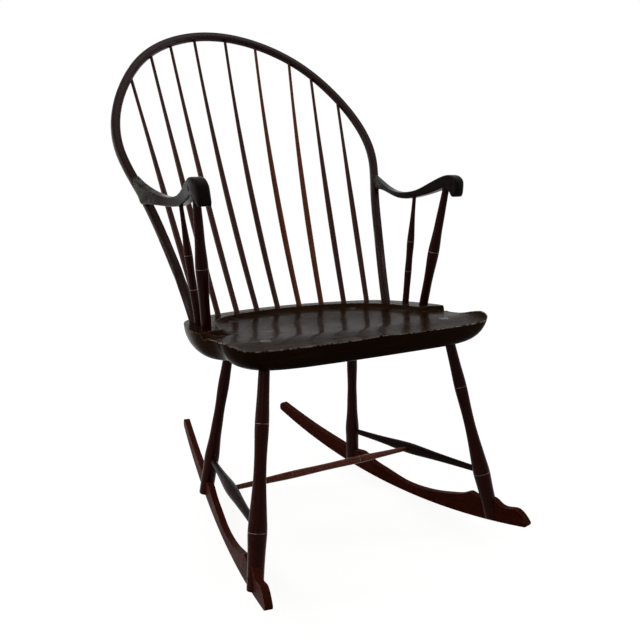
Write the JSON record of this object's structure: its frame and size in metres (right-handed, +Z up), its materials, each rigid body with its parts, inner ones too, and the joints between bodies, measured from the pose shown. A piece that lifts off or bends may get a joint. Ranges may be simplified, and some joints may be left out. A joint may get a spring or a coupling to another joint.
{
  "type": "rocking chair",
  "caption": "Hoop-back Windsor rocking chair: bent bow with spindles, scrolled arms on turned posts, dished plank seat, turned legs with stretchers on curved runners.",
  "frame": {"origin": "on the floor, under the middle of the chair's bounding box", "axes": "+X to the viewer's right when the chair faces the viewer, +Y from the front of the chair to its back, +Z up"},
  "size_m": [0.5991, 0.8126, 0.9485],
  "materials": {
    "seat_wood": "dark brown varnish over old paint, worn glossy, rubbed pale along the front edge",
    "hoop_wood": "near-black brown, satin to glossy",
    "spindle_wood": "dark brown, rubbed warmer in the middle of each spindle",
    "arm_wood": "near-black brown, worn at the grips, crazed over the joints with the hoop",
    "post_wood": "dark red-brown gloss",
    "leg_wood": "dark red-brown gloss",
    "stretcher_wood": "dark brown gloss",
    "runner_wood": "dark brown, dull and scuffed along the edges",
    "peg_wood": "brown end grain under thin varnish",
    "nail_iron": "old wrought iron"
  },
  "bodies": {
    "root": {"arm_left": "arm_wood", "arm_nails": "nail_iron", "arm_pins": "peg_wood", "arm_post_left": "post_wood", "arm_post_right": "post_wood", "arm_right": "arm_wood", "arm_spindle_left": "post_wood", "arm_spindle_right": "post_wood", "back_spindle_1": "spindle_wood", "back_spindle_2": "spindle_wood", "back_spindle_3": "spindle_wood", "back_spindle_4": "spindle_wood", "back_spindle_5": "spindle_wood", "back_spindle_6": "spindle_wood", "back_spindle_7": "spindle_wood", "back_spindle_8": "spindle_wood", "back_spindle_9": "spindle_wood", "cross_stretcher": "stretcher_wood", "front_leg_left": "leg_wood", "front_leg_right": "leg_wood", "hoop": "hoop_wood", "leg_wedges": "peg_wood", "rear_leg_left": "leg_wood", "rear_leg_right": "leg_wood", "rocker_left": "runner_wood", "rocker_pins": "peg_wood", "rocker_right": "runner_wood", "seat": "seat_wood", "side_stretcher_left": "stretcher_wood", "side_stretcher_right": "stretcher_wood"}
  },
  "joints": []
}
